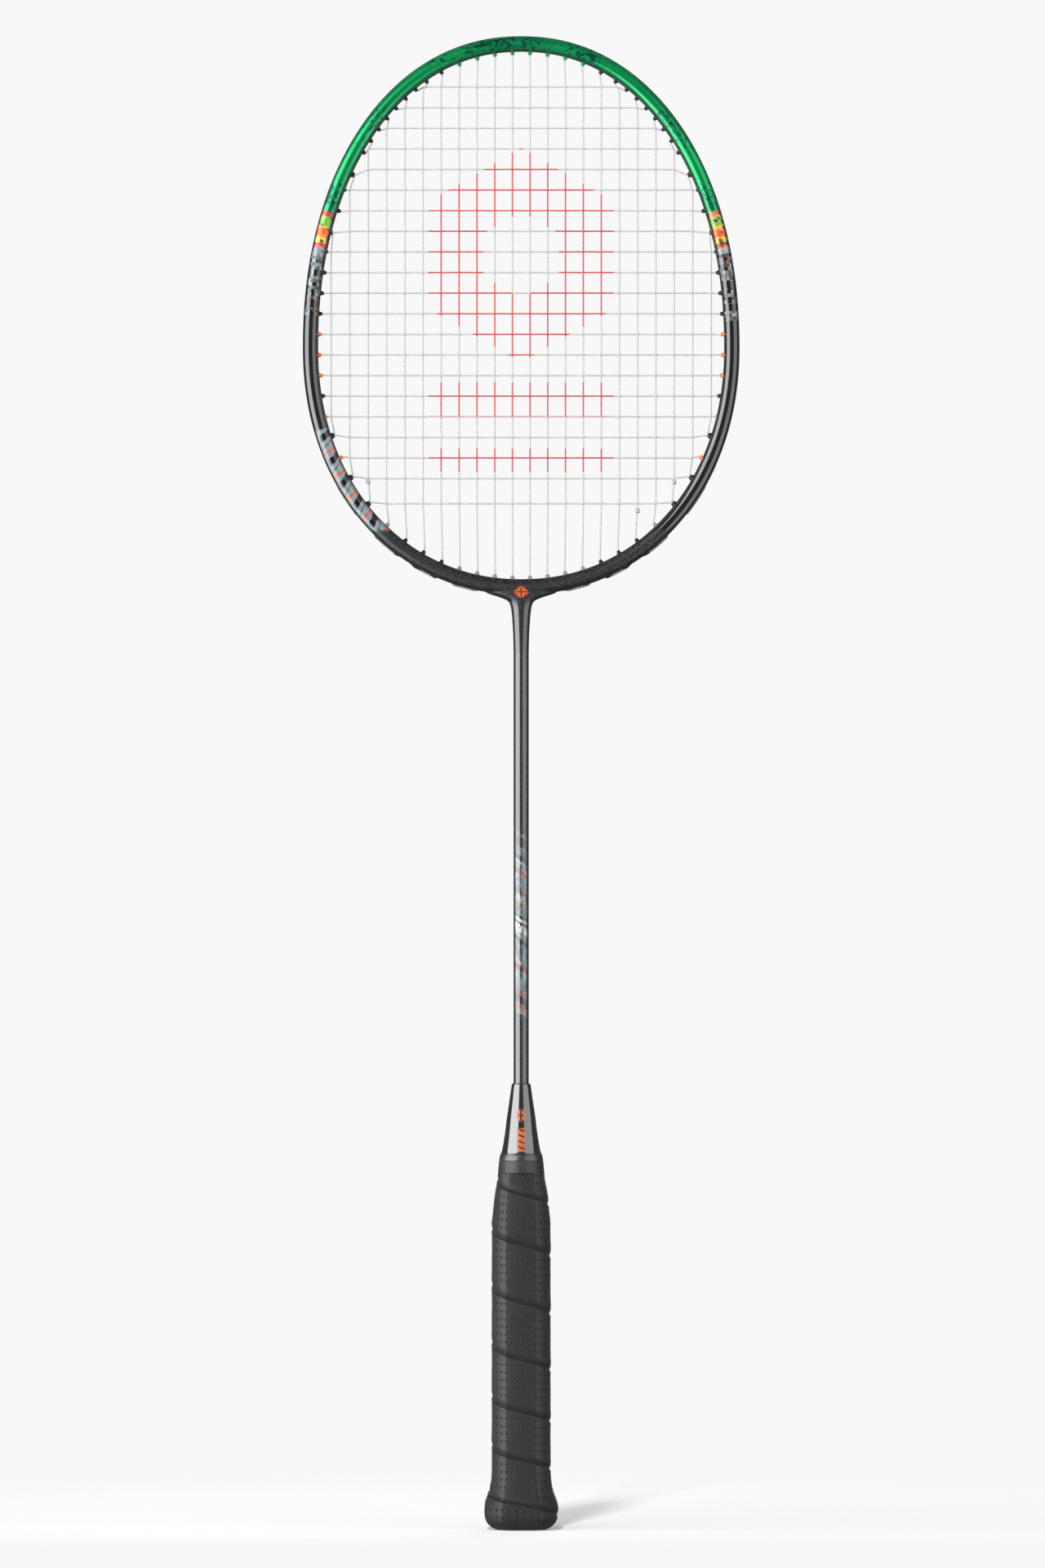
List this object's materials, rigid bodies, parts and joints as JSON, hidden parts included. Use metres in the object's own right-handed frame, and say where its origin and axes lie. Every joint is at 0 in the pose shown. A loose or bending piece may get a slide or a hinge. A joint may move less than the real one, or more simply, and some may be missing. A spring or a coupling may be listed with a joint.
{
  "type": "badminton racket",
  "caption": "Strung badminton racket: oval hollow frame with grommets and woven strings, thin round shaft, tapered cone and eight-sided wrapped grip with a flared butt.",
  "frame": {"origin": "centre of the flat underside of the butt cap, the lowest point of the racket", "axes": "+Z along the shaft from butt to head, X across the head, string bed in the XZ plane facing -Y and +Y"},
  "size_m": [0.1978, 0.0302, 0.675],
  "materials": {
    "carbon": "gloss lacquer over carbon fibre composite",
    "shaft_carbon": "gloss lacquer over carbon fibre composite, graphite",
    "joint": "bare moulding",
    "cone": "gloss black",
    "collar": "smooth satin tape",
    "wood": "bare",
    "wrap": "perforated polyurethane grip strip",
    "cap": "moulded",
    "badge": "satin",
    "string": "white multifilament nylon",
    "green_nylon": "moulded",
    "black_nylon": "moulded",
    "orange_nylon": "moulded",
    "clear_nylon": "moulded, natural"
  },
  "bodies": {
    "root": {"head_frame": "carbon", "t_joint": "joint", "shaft": "shaft_carbon", "cone_cap": "cone", "collar_band": "collar", "handle_core": "wood", "grip_wrap": "wrap", "butt_cap": "cap", "butt_badge": "badge", "main_string": "string", "cross_string": "string", "grommets_top": "green_nylon", "grommets_shoulder_left": "black_nylon", "grommets_upper_side_left": "black_nylon", "grommet_side_left_1": "orange_nylon", "grommet_side_left_2": "orange_nylon", "grommet_side_left_3": "orange_nylon", "grommet_side_left_4": "black_nylon", "grommet_side_left_5": "orange_nylon", "grommet_side_left_6": "black_nylon", "grommet_side_left_7": "orange_nylon", "grommet_side_left_8": "black_nylon", "grommet_side_left_9": "black_nylon", "grommet_low_left": "clear_nylon", "grommets_lower_left": "black_nylon", "grommets_neck_left": "clear_nylon", "grommets_shoulder_right": "black_nylon", "grommets_upper_side_right": "black_nylon", "grommet_side_right_1": "orange_nylon", "grommet_side_right_2": "orange_nylon", "grommet_side_right_3": "orange_nylon", "grommet_side_right_4": "black_nylon", "grommet_side_right_5": "orange_nylon", "grommet_side_right_6": "black_nylon", "grommet_side_right_7": "orange_nylon", "grommet_side_right_8": "black_nylon", "grommet_side_right_9": "black_nylon", "grommet_low_right": "clear_nylon", "grommets_lower_right": "black_nylon", "grommets_neck_right": "clear_nylon"}
  },
  "joints": []
}
